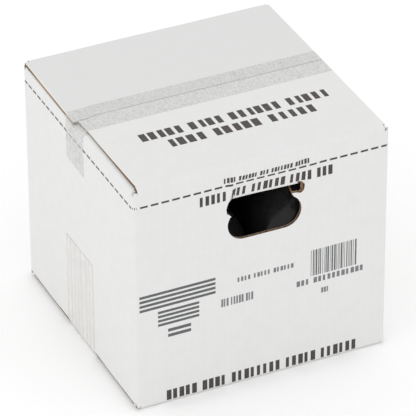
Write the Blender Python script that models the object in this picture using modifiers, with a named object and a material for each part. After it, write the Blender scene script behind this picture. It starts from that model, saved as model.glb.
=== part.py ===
"""A corrugated shipping carton, taped shut round four square one-gallon jugs of dark syrup.

The carton is made as the real one is. A flat blank is cut from one sheet of board, with its slots and its two
hand holes, and then folded: four panels, eight flaps and a glue tab. The front hand hole has been pushed in hard,
so that its flap tore the board a little above the die cut and the strip over it tilts.

X runs to the right along the front, +Y to the back and +Z up. The origin is under the middle of the carton.
Lengths are in metres. On the flat blank u runs round the carton, v is the height and w points out of the board.
"""

import math

import bmesh
import bpy
from mathutils import Vector, geometry

MM = 0.001

# The carton's outside and its board
WIDTH = 311 * MM
DEPTH = 305 * MM
HEIGHT = 292.5 * MM
BOARD = 3.8 * MM
GAP = 0.3 * MM
FOLD_RADIUS = 3.4 * MM  # of the middle of the board
FOLD_STEPS = 4
KERF = 0.6 * MM
TAPE = 0.3 * MM
BOARD_TOP = HEIGHT - GAP - TAPE

# Flaps
SEAM_Y = 8 * MM  # the top seam lies a little behind the middle
SEAM_GAP = 1.1 * MM
MINOR_FLAP = 149 * MM
FRONT_FLAP_INSET = 6.5 * MM
FLAP_INSET = 3.5 * MM
REAR_FLAP_INSET = 0.2 * MM  # at the left side of the carton, with which its raw edge is flush
MINOR_TAPER = 3 * MM  # off each side of a minor flap
CORNER_SLOT = 4 * MM  # how deep the slot between two flaps cuts into their corner fold
TAB_WIDTH = 32 * MM
TAB_TAPER = 12 * MM
TAB_RELIEF = 8 * MM
JOINT_INSET = 0.5 * MM  # of the rear panel's raw edge from the right side

# The hand hole: a slot with round ends, torn on above it in the front panel
HOLE_SHIFT = 2.5 * MM
HOLE_DROP = 78 * MM  # its middle, below the top
HOLE_RADIUS = 20.4 * MM
HOLE_STRAIGHT = 49.0 * MM
TORN_HINGE_DROP = 44.4 * MM
HINGE_ABOVE_END = 0.5 * MM  # how far the other hole's hinge lies under the top of its round ends
HOLE_FLAP_ANGLE = math.radians(86)
HOLE_FLAP_RADIUS = 2.3 * MM

# Dents and bulges
STRIP_TILT = 0.26  # of the strip over the front hand hole
STRIP_BULGE = 2.2 * MM  # of the strip's upper part
STRIP_PIVOT = 17 * MM  # below the top, where the bulge is at its full height
CREASE_RIDGE = 1.3 * MM
SHOULDER_BULGE = 1.5 * MM  # right of the strip
CORNER_DROOP = 3.0 * MM  # where the seam meets the left side
DROOP_LINES = [9 * MM, 18 * MM, 28 * MM, 38 * MM]  # in from the left side, where flaps and tape bend
FLAP_BOW = 1.6 * MM  # of the rear flap's left edge
BASE_ARCH = 0.9 * MM  # room for the bottom tape
ARCH_EDGE = (46 * MM, 76 * MM)  # from the middle, where the arch comes down to the floor
ARCH_FADE = (11 * MM, 42 * MM)  # above the floor, where it leaves the sides

# Tapes
TOP_TAPE_WIDTH = 48 * MM
TOP_TAPE_Y = 5 * MM
TOP_TAPE_LEG = 60 * MM
BOTTOM_TAPE_WIDTH = 75 * MM
BOTTOM_TAPE_LEG = 128 * MM

# Jugs
JUG_SIDE = 146 * MM
JUG_CORNER = 38 * MM
JUG_SEGMENTS = 8
NECK_RADIUS = 21 * MM
CAP_RADIUS = 24.5 * MM

HALF_TURN = math.pi / 2


def top_level(major):
    """The middle of the board in a top flap: the major flaps lie over the minor ones."""
    return BOARD_TOP - BOARD / 2 - (0 if major else BOARD + GAP)


def bottom_level(major):
    return BOARD / 2 + (0 if major else BOARD + GAP)


class Panel:
    """One side of the carton, and where it lies on the blank."""

    def __init__(self, name, middle, along, outward, reach, distance, u_middle):
        self.name = name
        self.middle = Vector(middle)
        self.along = Vector(along)
        self.outward = Vector(outward)
        self.reach = reach  # half the flat length between its corner folds
        self.distance = distance  # of the middle of the board from the carton's axis
        self.u = u_middle
        self.major = name in ("front", "rear")
        self.top_fold = top_level(self.major) - FOLD_RADIUS
        self.bottom_fold = bottom_level(self.major) + FOLD_RADIUS


CORNER_ARC = FOLD_RADIUS * HALF_TURN
X_REACH = (WIDTH - BOARD) / 2 - FOLD_RADIUS
Y_REACH = (DEPTH - BOARD) / 2 - FOLD_RADIUS
TAB_STEP = BOARD + GAP  # the glue tab lies inside the rear panel

U_REAR = WIDTH / 2 - JOINT_INSET
U_LEFT = U_REAR + X_REACH + CORNER_ARC + Y_REACH
U_FRONT = U_LEFT + Y_REACH + CORNER_ARC + X_REACH
U_RIGHT = U_FRONT + X_REACH + CORNER_ARC + Y_REACH
U_TAB = U_RIGHT + Y_REACH - TAB_STEP

PANELS = {
    "rear": Panel("rear", (0, DEPTH / 2 - BOARD / 2, 0), (-1, 0, 0), (0, 1, 0), X_REACH, DEPTH / 2, U_REAR),
    "left": Panel("left", (-WIDTH / 2 + BOARD / 2, 0, 0), (0, -1, 0), (-1, 0, 0), Y_REACH, WIDTH / 2, U_LEFT),
    "front": Panel("front", (0, -DEPTH / 2 + BOARD / 2, 0), (1, 0, 0), (0, -1, 0), X_REACH, DEPTH / 2, U_FRONT),
    "right": Panel("right", (WIDTH / 2 - BOARD / 2, 0, 0), (0, 1, 0), (1, 0, 0), Y_REACH, WIDTH / 2, U_RIGHT),
}

CORNER_TOP = BOARD_TOP - CORNER_SLOT
CORNER_BOTTOM = CORNER_SLOT
FLAP_START = CORNER_ARC + KERF  # along the blank from the start of the fold to the flap's full width


def smooth(edge_low, edge_high, value):
    """0 below the first edge, 1 above the second, and a smooth step between."""
    share = min(max((value - edge_low) / (edge_high - edge_low), 0.0), 1.0)
    return share * share * (3 - 2 * share)


def bell(value, half_width):
    """1 at 0, falling smoothly to 0 at the half width."""
    return 1 - smooth(0, half_width, abs(value))


# The flat blank


def flap_widths(panel, top):
    """How far a flap reaches to either side of its panel's middle, along u: at its root, and beyond the fold."""
    root = panel.reach - KERF
    right_root = root - TAB_STEP if panel.name == "right" else root
    if not panel.major:
        return (root, right_root), (root - MINOR_TAPER, right_root - MINOR_TAPER)
    left = right = WIDTH / 2 - FLAP_INSET
    if top and panel.name == "front":
        left = WIDTH / 2 - FRONT_FLAP_INSET
    if top and panel.name == "rear":
        right = WIDTH / 2 - REAR_FLAP_INSET
    return (root, root), (left, right)


def flap_length(panel, top):
    """From the end of the fold to the flap's edge."""
    if not panel.major:
        return MINOR_FLAP - FOLD_RADIUS
    to_axis = panel.distance - BOARD / 2 - FOLD_RADIUS
    seam = SEAM_Y if top else 0.0
    side = -1 if panel.name == "rear" else 1
    return to_axis + side * seam - SEAM_GAP / 2


def flap_outline(panel, top):
    """The slots and the flap along one end of a panel, from its left to its right, as (u, v)."""
    (root_left, root_right), (left, right) = flap_widths(panel, top)
    fold_start = panel.top_fold if top else panel.bottom_fold
    up = 1 if top else -1
    slot = fold_start - up * KERF
    start = fold_start + up * FLAP_START
    end = fold_start + up * (CORNER_ARC + flap_length(panel, top))
    corner = CORNER_TOP if top else CORNER_BOTTOM
    points = []
    if panel.name != "rear":
        points += [(-panel.reach, corner), (-panel.reach, slot)]
    points += [(-root_left, slot), (-root_left, start), (-left, start), (-left, end)]
    points += [(right, end), (right, start), (root_right, start), (root_right, slot)]
    if panel.name == "right":
        points += [(panel.reach - TAB_STEP, slot)]
    else:
        points += [(panel.reach, slot), (panel.reach, corner)]
    return [(panel.u + s, v) for s, v in points]


def blank_outline():
    order = [PANELS[name] for name in ("rear", "left", "front", "right")]
    top = [point for panel in order for point in flap_outline(panel, True)]
    bottom = [point for panel in order for point in flap_outline(panel, False)]
    tab_root = U_TAB + CORNER_ARC
    tab_top, tab_bottom = CORNER_TOP - TAB_RELIEF, CORNER_BOTTOM + TAB_RELIEF
    tab = [(U_TAB, tab_top), (tab_root, tab_top), (tab_root + TAB_WIDTH, tab_top - TAB_TAPER)]
    tab += [(tab_root + TAB_WIDTH, tab_bottom + TAB_TAPER), (tab_root, tab_bottom), (U_TAB, tab_bottom)]
    free_edge = [(0.0, PANELS["rear"].bottom_fold + KERF), (0.0, PANELS["rear"].top_fold - KERF)]
    return free_edge + top + tab + bottom[::-1]


def arc_points(centre, radius, start, end, steps):
    angles = [math.radians(start + (end - start) * i / steps) for i in range(steps + 1)]
    return [(centre[0] + radius * math.cos(a), centre[1] + radius * math.sin(a)) for a in angles]


def hinge_level(torn):
    return HEIGHT - TORN_HINGE_DROP if torn else HEIGHT - HOLE_DROP + HOLE_RADIUS - HINGE_ABOVE_END


def hole_outline(torn):
    """The cut of a hand hole about its panel's middle, from its hinge's left end round below to the right end."""
    half = HOLE_STRAIGHT / 2
    low = HEIGHT - HOLE_DROP
    left_end, right_end = (HOLE_SHIFT - half, low), (HOLE_SHIFT + half, low)
    hinge = hinge_level(torn)
    if not torn:
        points = arc_points(left_end, HOLE_RADIUS, 100, 270, 12) + arc_points(right_end, HOLE_RADIUS, 270, 440, 12)
        return [(left_end[0] - 1 * MM, hinge)] + points + [(right_end[0] + 1 * MM, hinge)]
    left_ear = [(-33.5, 0), (-39, -1.5), (-41.8, -4), (-43.2, -9), (-42.2, -16), (-37.7, -21.5)]
    right_ear = [(36.2, -12.2), (46.5, -13), (48.6, -11), (48.4, -5.5), (46.8, -2), (43.5, 0)]
    points = [(x * MM, hinge + z * MM) for x, z in left_ear]
    points += arc_points(left_end, HOLE_RADIUS, 150, 270, 9) + arc_points(right_end, HOLE_RADIUS, 270, 418, 11)
    return points + [(x * MM, hinge + z * MM) for x, z in right_ear]


def moved_in(points, distance):
    """An open line moved to its left by a distance, as the edge of what it was cut from."""
    moved = []
    for i, here in enumerate(points):
        before, after = Vector(points[max(i - 1, 0)]), Vector(points[min(i + 1, len(points) - 1)])
        along = (after - before).normalized()
        moved.append((here[0] - along.y * distance, here[1] + along.x * distance))
    return moved


def hole_flap_outline(torn):
    """The flap that was cut out of a hand hole, smaller all round by the width of the cut."""
    outline = moved_in(hole_outline(torn), KERF)
    hinge = hinge_level(torn)
    outline[0] = (outline[0][0], hinge)
    outline[-1] = (outline[-1][0], hinge)
    return outline


def hole_kerf(torn):
    """The cut round a hand hole's flap: out along the hole's edge, and back along the flap's."""
    return hole_outline(torn) + hole_flap_outline(torn)[::-1]


def inside(point, outline):
    """Whether a flat point lies inside a closed outline."""
    x, y = point
    odd = False
    for (x1, y1), (x2, y2) in zip(outline, outline[1:] + outline[:1]):
        if (y1 > y) != (y2 > y) and x < x1 + (y - y1) / (y2 - y1) * (x2 - x1):
            odd = not odd
    return odd


# Folding


HOLE_FLAPS = {"front": moved_in(hole_outline(True), KERF / 2), "rear": moved_in(hole_outline(False), KERF / 2)}


def strip_tilt(x, z):
    """How far the strip over the front hand hole stands out of the panel: its top bulges, its foot is pushed in."""
    drop = HEIGHT - z
    slant = (drop - 30 * MM) * 0.25  # the creases at the strip's ends spread downwards
    between_creases = smooth(-38 * MM, -29 * MM, x + slant) * (1 - smooth(43 * MM, 55 * MM, x - slant))
    stiffer_right = 1 - 0.35 * smooth(-20 * MM, 50 * MM, x)
    tilt = STRIP_BULGE - STRIP_TILT * (drop - STRIP_PIVOT) * stiffer_right
    down_the_strip = smooth(5 * MM, 15 * MM, drop) * (1 - smooth(47 * MM, 62 * MM, drop))
    ridge = CREASE_RIDGE * bell(x + slant + 39 * MM, 7 * MM) * smooth(8 * MM, 16 * MM, drop)
    ridge *= 1 - smooth(34 * MM, 46 * MM, drop)
    shoulder = SHOULDER_BULGE * bell(x - 58 * MM, 16 * MM) * bell(drop - 18 * MM, 14 * MM)
    return between_creases * tilt * down_the_strip + ridge + shoulder


def settle(point):
    """Moves a folded point by the carton's sags: the corner at the seam's left end, and the arch under the base."""
    x, y, z = point
    near_corner = (1 - smooth(0, 38 * MM, x + WIDTH / 2)) * bell(y - SEAM_Y, 34 * MM)
    droop = CORNER_DROOP * near_corner * smooth(HEIGHT - 34 * MM, HEIGHT - 7 * MM, z)
    arch = BASE_ARCH * (1 - smooth(*ARCH_EDGE, abs(y))) * (1 - smooth(*ARCH_FADE, z))
    return Vector((x, y, z - droop + arch))


def panel_at(u, v):
    """The panel that a point of the blank belongs to, with its flaps and half of each corner fold."""
    if not CORNER_BOTTOM - KERF / 2 <= v <= CORNER_TOP + KERF / 2:
        for panel in PANELS.values():
            left, right = (max(widths) for widths in zip(*flap_widths(panel, v > 0)))
            if -left - KERF / 2 < u - panel.u < right + KERF / 2:
                return panel
    return min(PANELS.values(), key=lambda panel: abs(u - panel.u) - panel.reach)


def corner_of(u):
    """The corner fold that a u lies in, as the panels on either side, or None."""
    order = ("rear", "left", "front", "right")
    for before, after in zip(order, order[1:]):
        if PANELS[before].u + PANELS[before].reach < u < PANELS[after].u - PANELS[after].reach:
            return PANELS[before]
    return None


def round_plan(u, w):
    """The place in plan of a point between the top and bottom folds."""
    if u > U_TAB:
        panel = PANELS["right"]
        start = panel.reach - TAB_STEP
        past = u - U_TAB
    else:
        panel = corner_of(u)
        if panel is None:
            panel = panel_at(u, HEIGHT / 2)
            return panel.middle + panel.along * (u - panel.u) + panel.outward * w
        start = panel.reach
        past = u - panel.u - panel.reach
    turn = min(past / FOLD_RADIUS, HALF_TURN)
    straight = max(past - CORNER_ARC, 0.0)
    forward = FOLD_RADIUS * math.sin(turn) + w * math.sin(turn)
    inward = FOLD_RADIUS * (1 - math.cos(turn)) - w * math.cos(turn) + straight
    return panel.middle + panel.along * (start + forward) - panel.outward * inward


def fold_flap(panel, s, past, w, top):
    """The place of a point past a panel's top or bottom fold."""
    turn = min(past / FOLD_RADIUS, HALF_TURN)
    straight = max(past - CORNER_ARC, 0.0)
    inward = FOLD_RADIUS * (1 - math.cos(turn)) + straight - w * math.cos(turn)
    rise = FOLD_RADIUS * math.sin(turn) + w * math.sin(turn)
    if top and panel.name == "rear":
        bow = bell(straight - 48 * MM, 46 * MM) * smooth(WIDTH / 2 - 75 * MM, WIDTH / 2, s)
        rise += FLAP_BOW * bow
    z = panel.top_fold + rise if top else panel.bottom_fold - rise
    return panel.middle + panel.along * s - panel.outward * inward + Vector((0, 0, z))


def fold_hole_flap(panel, s, v, w, torn):
    """The place of a point of the flap that was cut out of a hand hole, pushed in about its hinge."""
    hinge = hinge_level(torn)
    below = hinge - v
    turn = min(below / HOLE_FLAP_RADIUS, HOLE_FLAP_ANGLE)
    straight = max(below - HOLE_FLAP_RADIUS * HOLE_FLAP_ANGLE, 0.0)
    inward = HOLE_FLAP_RADIUS * (1 - math.cos(turn)) + straight * math.sin(turn) - w * math.cos(turn)
    drop = HOLE_FLAP_RADIUS * math.sin(turn) + straight * math.cos(turn) + w * math.sin(turn)
    inward -= strip_tilt(s, hinge) if torn else 0.0
    return panel.middle + panel.along * s - panel.outward * inward + Vector((0, 0, hinge - drop))


def fold(u, v, w):
    """Where a point of the flat blank lies on the folded carton."""
    panel = panel_at(u, v)
    s = u - panel.u
    for top, past in ((True, v - panel.top_fold), (False, panel.bottom_fold - v)):
        within = abs(s) <= panel.reach - KERF / 2 or past > CORNER_ARC
        if past > 0 and within and u < U_TAB:
            return settle(fold_flap(panel, s, past, w, top))
    if panel.major:
        torn = panel.name == "front"
        if v < hinge_level(torn) and inside((s, v), HOLE_FLAPS[panel.name]):
            return settle(fold_hole_flap(panel, s, v, w, torn))
        if torn:
            w += strip_tilt(s, v)
    return settle(round_plan(u, w) + Vector((0, 0, v)))


# Building the objects


def new_material(name, colour, roughness):
    material = bpy.data.materials.new(name)
    material.use_nodes = True
    shader = material.node_tree.nodes["Principled BSDF"]
    shader.inputs["Base Color"].default_value = (*colour, 1)
    shader.inputs["Roughness"].default_value = roughness
    shader.inputs["Metallic"].default_value = 0.0
    material.diffuse_color = (*colour, 1)
    return material


def add_object(name, mesh, collection, material):
    obj = bpy.data.objects.new(name, mesh)
    mesh.materials.append(material)
    mesh.shade_smooth()
    mesh.set_sharp_from_angle(angle=math.radians(35))
    collection.objects.link(obj)
    return obj


def flat_sheet(outline, cuts):
    """A flat piece as an open surface, without the material inside the closed cuts."""
    points, edges = [], []
    for loop in [outline] + cuts:
        first = len(points)
        points += [Vector(point) for point in loop]
        edges += [(first + i, first + (i + 1) % len(loop)) for i in range(len(loop))]
    triangles_inside = 1
    places, _, faces, *_ = geometry.delaunay_2d_cdt(points, edges, [], triangles_inside, 0.000001)
    sheet = bmesh.new()
    verts = [sheet.verts.new((place.x, place.y, 0)) for place in places]
    for face in faces:
        middle = sum((places[i] for i in face), Vector((0, 0))) / len(face)
        if not any(inside(middle, cut) for cut in cuts):
            sheet.faces.new([verts[i] for i in face])
    return sheet


def score(sheet, axis, places, low=None, high=None):
    """Cuts the sheet's faces along straight lines across u (axis 0) or v (axis 1), so that it can bend there.

    Only the faces whose middle lies between the (u, v) corners low and high are cut."""
    for place in places:
        faces = []
        for face in sheet.faces:
            middle = face.calc_center_median()
            if low is None or all(low[i] < middle[i] < high[i] for i in (0, 1)):
                faces.append(face)
        edges = {edge for face in faces for edge in face.edges}
        verts = {vert for face in faces for vert in face.verts}
        at = Vector((place, 0, 0)) if axis == 0 else Vector((0, place, 0))
        normal = Vector((1, 0, 0)) if axis == 0 else Vector((0, 1, 0))
        bmesh.ops.bisect_plane(
            sheet, geom=list(verts) + list(edges) + faces, dist=0.000001, plane_co=at, plane_no=normal
        )


def steps(start, end, count):
    return [start + (end - start) * i / count for i in range(count + 1)]


def score_corners(sheet):
    for name in ("rear", "left", "front"):
        start = PANELS[name].u + PANELS[name].reach
        score(sheet, 0, steps(start, start + CORNER_ARC, FOLD_STEPS))
    score(sheet, 0, steps(U_TAB, U_TAB + CORNER_ARC, FOLD_STEPS))


def score_folds(sheet):
    for panel in PANELS.values():
        low = (panel.u - panel.reach - 6 * MM, -1)
        high = (panel.u + panel.reach + 6 * MM, 1)
        places = steps(panel.top_fold, panel.top_fold + CORNER_ARC, FOLD_STEPS)
        places += steps(panel.bottom_fold, panel.bottom_fold - CORNER_ARC, FOLD_STEPS)
        score(sheet, 1, places, low, high)


def score_strip(sheet):
    """Lines for the strip over the front hand hole: its rows run right across the panel."""
    front = PANELS["front"]
    left, right = front.u - 44 * MM, front.u + 68 * MM
    row_drops = (62, 54, 47, 41, 36, 31, 26, 21, 16, 11, 7)
    panel_low, panel_high = (front.u - front.reach, CORNER_BOTTOM), (front.u + front.reach, front.top_fold)
    score(sheet, 0, [left, right], panel_low, panel_high)
    score(sheet, 1, [HEIGHT - drop * MM for drop in row_drops], panel_low, panel_high)
    columns = (-40, -36, -32, -28, -22, -12, 2, 16, 28, 38, 43, 47, 51, 55, 60)
    score(sheet, 0, [front.u + x * MM for x in columns], (left, HEIGHT - row_drops[0] * MM), (right, front.top_fold))


def score_hole_flaps(sheet):
    for name, torn in (("front", True), ("rear", False)):
        panel = PANELS[name]
        hinge = hinge_level(torn)
        low = (panel.u - 55 * MM, HEIGHT - HOLE_DROP - HOLE_RADIUS)
        high = (panel.u + 62 * MM, hinge + 0.1 * MM)
        score(sheet, 1, steps(hinge, hinge - HOLE_FLAP_RADIUS * HOLE_FLAP_ANGLE, 3), low, high)


def score_droop(sheet):
    """Lines for the sunken corner where the seam meets the left side."""
    left = PANELS["left"]
    low, high = (left.u - left.reach, HEIGHT - 36 * MM), (left.u + left.reach, 1)
    score(sheet, 0, [left.u - SEAM_Y + y * MM for y in (-34, -24, -16, -8, 0, 8, 16, 24, 34)], low, high)
    score(sheet, 1, [HEIGHT - drop * MM for drop in (34, 27, 20, 14)], low, (high[0], left.top_fold))
    flap_start = left.top_fold + CORNER_ARC
    score(sheet, 1, [flap_start + x * MM for x in (4, 13, 23, 33)], (low[0], flap_start), high)
    for name, sign in (("front", -1), ("rear", 1)):
        panel = PANELS[name]
        flap_start = panel.top_fold + CORNER_ARC
        tip = flap_start + flap_length(panel, True)
        low, high = (panel.u - WIDTH / 2, flap_start), (panel.u + WIDTH / 2, 1)
        score(sheet, 0, [panel.u + sign * (WIDTH / 2 - x) for x in DROOP_LINES], low, high)
        score(sheet, 1, [tip - y * MM for y in (8, 16, 25, 34)], low, high)


def score_bow(sheet):
    """Lines for the lifted left end of the rear flap."""
    rear = PANELS["rear"]
    flap_start = rear.top_fold + CORNER_ARC
    low, high = (rear.u - WIDTH / 2, flap_start), (rear.u + WIDTH / 2, 1)
    score(sheet, 1, [flap_start + y * MM for y in (4, 18, 33, 48, 63, 78, 94)], low, high)
    score(sheet, 0, [rear.u + WIDTH / 2 - x * MM for x in (57, 75)], low, high)


def score_base(sheet):
    """Lines for the arch over the bottom tape."""
    arch = steps(*ARCH_EDGE, 3)
    low, high = ARCH_FADE
    for name in ("left", "right"):
        panel = PANELS[name]
        places = [panel.u + side * y for y in arch for side in (-1, 1)]
        score(sheet, 0, places, (panel.u - panel.reach, -1), (panel.u + panel.reach, high))
        score(sheet, 1, [high, (low + high) / 2], (panel.u - panel.reach, 0), (panel.u + panel.reach, 0.1))
    for name in ("front", "rear"):
        panel = PANELS[name]
        start = panel.bottom_fold - CORNER_ARC
        places = [start - (panel.distance - BOARD / 2 - FOLD_RADIUS - y) for y in arch]
        score(sheet, 1, places, (panel.u - WIDTH / 2, -1), (panel.u + WIDTH / 2, start))


def build_carton(collection):
    cuts = []
    for name, torn in (("front", True), ("rear", False)):
        cuts.append([(PANELS[name].u + s, v) for s, v in hole_kerf(torn)])
    sheet = flat_sheet(blank_outline(), cuts)
    score_corners(sheet)
    score_folds(sheet)
    score_strip(sheet)
    score_hole_flaps(sheet)
    score_droop(sheet)
    score_bow(sheet)
    score_base(sheet)
    bmesh.ops.triangulate(sheet, faces=sheet.faces)
    bmesh.ops.recalc_face_normals(sheet, faces=sheet.faces)
    bmesh.ops.solidify(sheet, geom=sheet.faces[:], thickness=BOARD)
    middle = sum(vert.co.z for vert in sheet.verts) / len(sheet.verts)
    for vert in sheet.verts:
        vert.co.z = math.copysign(BOARD / 2, vert.co.z - middle)
        vert.co = fold(*vert.co)
    bmesh.ops.recalc_face_normals(sheet, faces=sheet.faces)
    mesh = bpy.data.meshes.new("carton")
    sheet.to_mesh(mesh)
    sheet.free()
    return add_object("carton", mesh, collection, new_material("white board", (0.78, 0.79, 0.78), 0.75))


def tape_path(top, leg):
    """The middle of a tape from one leg over the carton to the other, as (x, z)."""
    side = WIDTH / 2 + GAP + TAPE / 2
    level = BOARD_TOP + GAP + TAPE / 2 if top else -(GAP + TAPE / 2)
    turn = 1.2 * MM
    up = 1 if top else -1
    left = [(-side, level - up * leg), (-side, level - up * 34 * MM), (-side, level - up * 12 * MM)]
    left += [(x, level + up * (z - level - turn)) for x, z in arc_points((turn - side, level), turn, 180, 90, 3)]
    left += [(x - WIDTH / 2, level) for x in DROOP_LINES]
    return left + [(-x, z) for x, z in left[::-1]]


def build_tape(name, collection, width, middle_y, leg, top, colour):
    """A strip of tape as a sheet that follows the carton, thickened by a Solidify modifier."""
    path = tape_path(top, leg)
    rows = 8
    sheet = bmesh.new()
    bmesh.ops.create_grid(sheet, x_segments=rows, y_segments=len(path) - 1, size=0.5)
    for vert in sheet.verts:
        across = vert.co.x * width + middle_y
        x, z = path[round((vert.co.y + 0.5) * (len(path) - 1))]
        vert.co = settle((x, across, z))
    bmesh.ops.recalc_face_normals(sheet, faces=sheet.faces)
    mesh = bpy.data.meshes.new(name)
    sheet.to_mesh(mesh)
    sheet.free()
    tape = add_object(name, mesh, collection, new_material(name, colour, 0.3))
    thickness = tape.modifiers.new("film", "SOLIDIFY")
    thickness.thickness = TAPE
    thickness.offset = 0.0
    return tape


def jug_profile():
    """The jug's half width and its corner radius against the height, from its base to the top of its cap."""
    base = 2 * BOARD + GAP + BASE_ARCH + GAP
    half = JUG_SIDE / 2
    top = HEIGHT
    profile = [(base, half - 5 * MM, JUG_CORNER - 5 * MM), (base + 2 * MM, half - 1.5 * MM, JUG_CORNER - 2 * MM)]
    profile += [(base + 6 * MM, half, JUG_CORNER), (top - 124 * MM, half, JUG_CORNER)]
    shoulder = [(114, 71.2), (104, 67.6), (95, 63.2), (87, 58), (79, 51.6), (71, 43.4), (64, 33.6), (58.5, 25.5)]
    for drop, width in shoulder:
        roundness = smooth(118, 62, drop)
        corner = JUG_CORNER + (width * MM - JUG_CORNER) * roundness
        profile.append((top - drop * MM, width * MM, min(corner, width * MM)))
    neck = [(53, NECK_RADIUS), (38, NECK_RADIUS), (37, CAP_RADIUS), (14.2, CAP_RADIUS), (13.2, CAP_RADIUS - 1 * MM)]
    profile += [(top - drop * MM, radius, radius) for drop, radius in neck]
    return profile


def rounded_square(half, corner, z):
    points = []
    straight = half - corner
    for quarter in range(4):
        centre_angle = math.radians(45 + 90 * quarter)
        centre = (math.copysign(straight, math.cos(centre_angle)), math.copysign(straight, math.sin(centre_angle)))
        arc = arc_points(centre, corner, 90 * quarter + 4, 90 * quarter + 86, JUG_SEGMENTS - 1)
        points += [Vector((x, y, z)) for x, y in arc]
    return points


def jug_mesh():
    """A loft from the square body through its sloping shoulder to the round neck and cap."""
    body = bmesh.new()
    rings = [[body.verts.new(p) for p in rounded_square(half, corner, z)] for z, half, corner in jug_profile()]
    for lower, upper in zip(rings, rings[1:]):
        for i in range(len(lower)):
            j = (i + 1) % len(lower)
            body.faces.new((lower[i], lower[j], upper[j], upper[i]))
    body.faces.new(rings[0][::-1])
    body.faces.new(rings[-1])
    bmesh.ops.recalc_face_normals(body, faces=body.faces)
    mesh = bpy.data.meshes.new("jug")
    body.to_mesh(mesh)
    body.free()
    return mesh


def build_jugs(collection):
    mesh = jug_mesh()
    material = new_material("dark syrup jug", (0.02, 0.012, 0.008), 0.15)
    x = (WIDTH / 2 - BOARD) / 2
    front_y = -DEPTH / 2 + BOARD + 0.5 * MM + JUG_SIDE / 2
    rear_y = front_y + JUG_SIDE + 0.4 * MM  # clear of the glue tab
    for depth, y in (("front", front_y), ("rear", rear_y)):
        for side, side_x in (("left", -1), ("right", 1)):
            jug = bpy.data.objects.new(f"jug_{depth}_{side}", mesh)
            collection.objects.link(jug)
            jug.location = (side_x * x, y, 0)
    mesh.materials.append(material)
    mesh.shade_smooth()
    mesh.set_sharp_from_angle(angle=math.radians(35))


def main():
    for obj in list(bpy.data.objects):
        bpy.data.objects.remove(obj)
    collection = bpy.data.collections.new("shipping carton")
    bpy.context.scene.collection.children.link(collection)
    build_carton(collection)
    build_tape("tape_top", collection, TOP_TAPE_WIDTH, TOP_TAPE_Y, TOP_TAPE_LEG, True, (0.7, 0.7, 0.68))
    build_tape("tape_bottom", collection, BOTTOM_TAPE_WIDTH, 0.0, BOTTOM_TAPE_LEG, False, (0.76, 0.72, 0.68))
    build_jugs(collection)


main()
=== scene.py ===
import math
import random

import bpy
import numpy as np
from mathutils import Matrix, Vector, geometry, noise


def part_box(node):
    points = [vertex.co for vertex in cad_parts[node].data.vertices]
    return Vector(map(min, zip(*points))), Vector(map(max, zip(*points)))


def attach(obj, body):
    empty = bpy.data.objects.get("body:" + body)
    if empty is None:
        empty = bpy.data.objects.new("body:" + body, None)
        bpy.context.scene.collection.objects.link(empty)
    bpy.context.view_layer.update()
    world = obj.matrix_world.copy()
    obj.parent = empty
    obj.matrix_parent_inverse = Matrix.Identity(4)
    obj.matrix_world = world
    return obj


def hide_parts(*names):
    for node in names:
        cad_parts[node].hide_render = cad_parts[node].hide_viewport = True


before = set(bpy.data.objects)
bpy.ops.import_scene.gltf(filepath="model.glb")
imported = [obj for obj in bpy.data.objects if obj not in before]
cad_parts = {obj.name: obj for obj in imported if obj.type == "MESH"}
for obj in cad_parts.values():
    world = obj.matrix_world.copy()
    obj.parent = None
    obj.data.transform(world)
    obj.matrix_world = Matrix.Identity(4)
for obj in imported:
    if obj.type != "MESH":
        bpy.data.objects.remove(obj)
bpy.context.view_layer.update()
print("frame loaded:", ", ".join(sorted(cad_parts)))

mm = 0.001
quarterTurn = math.pi / 2

# The carton's own sizes, in millimetres, as its solid has them
carton = {
    "width": 311.0, "depth": 305.0, "height": 292.5, "board": 3.8, "gap": 0.3, "foldRadius": 3.4,
    "kerf": 0.6,
    "tape": 0.3, "seamY": 8.0, "seamGap": 1.1, "minorFlap": 149.0, "frontInset": 6.5, "flapInset": 3.5,
    "rearInset": 0.2, "minorTaper": 3.0, "cornerSlot": 4.0, "tabWidth": 32.0, "tabTaper": 12.0,
    "tabRelief": 8.0, "jointInset": 0.5,
}
# The die-cut slot with round ends, and the tear above it in the front panel
handHole = {
    "shift": 2.5, "drop": 78.0, "radius": 20.4, "straight": 49.0, "tornHingeDrop": 44.4, "hingeAboveEnd": 0.5,
    "flapAngle": math.radians(86), "flapRadius": 2.3, "tearRoughness": 0.45, "linerTornBack": 3.6,
    "rightEarFrom": 42, "rightEarDrop": 14,
}
# What the carton has been through
dents = {
    "stripTilt": 0.26, "stripBulge": 2.2, "stripPivot": 17.0, "creaseRidge": 1.3, "shoulderBulge": 1.5,
    "cornerDroop": 3.0, "flapBow": 1.6, "baseArch": 0.9, "archEdge": (46.0, 76.0), "archFade": (11.0, 42.0),
    "unevenness": 0.22, "unevenSize": 85.0, "leftCrease": (-38, -29), "rightCrease": (43, 55),
    "slantFrom": 30, "creaseSlant": 0.25, "stripTop": (5, 15), "stripFoot": (47, 62),
}
# Two liners with a fluted medium between them
sandwich = {
    "liner": 0.32, "medium": 0.2, "flutePitch": 8.0, "fluteRows": (0.15, 0.9, 1.8, 2.7, 3.6, 4.6, 5.7, 6.9),
    "earRows": (1.9, 2.8, 3.7, 4.6), "shallowRows": 3, "stepAcross": 0.9, "stepAlong": 5.0,
}
# Distances between the sheet's points, and the angle from which an edge is sharp
grain = {"panel": 7.0, "strip": 2.2, "corner": 4.0, "foldSteps": 7, "hingeSteps": 5, "sharpFrom": 35}

width, depth, height, board = (carton[key] for key in ("width", "depth", "height", "board"))
foldRadius, kerf = carton["foldRadius"], carton["kerf"]
boardTop = height - carton["gap"] - carton["tape"]
cornerArc = foldRadius * quarterTurn


def smooth(low, high, value):
    share = min(max((value - low) / (high - low), 0.0), 1.0)
    return share * share * (3 - 2 * share)


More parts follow.
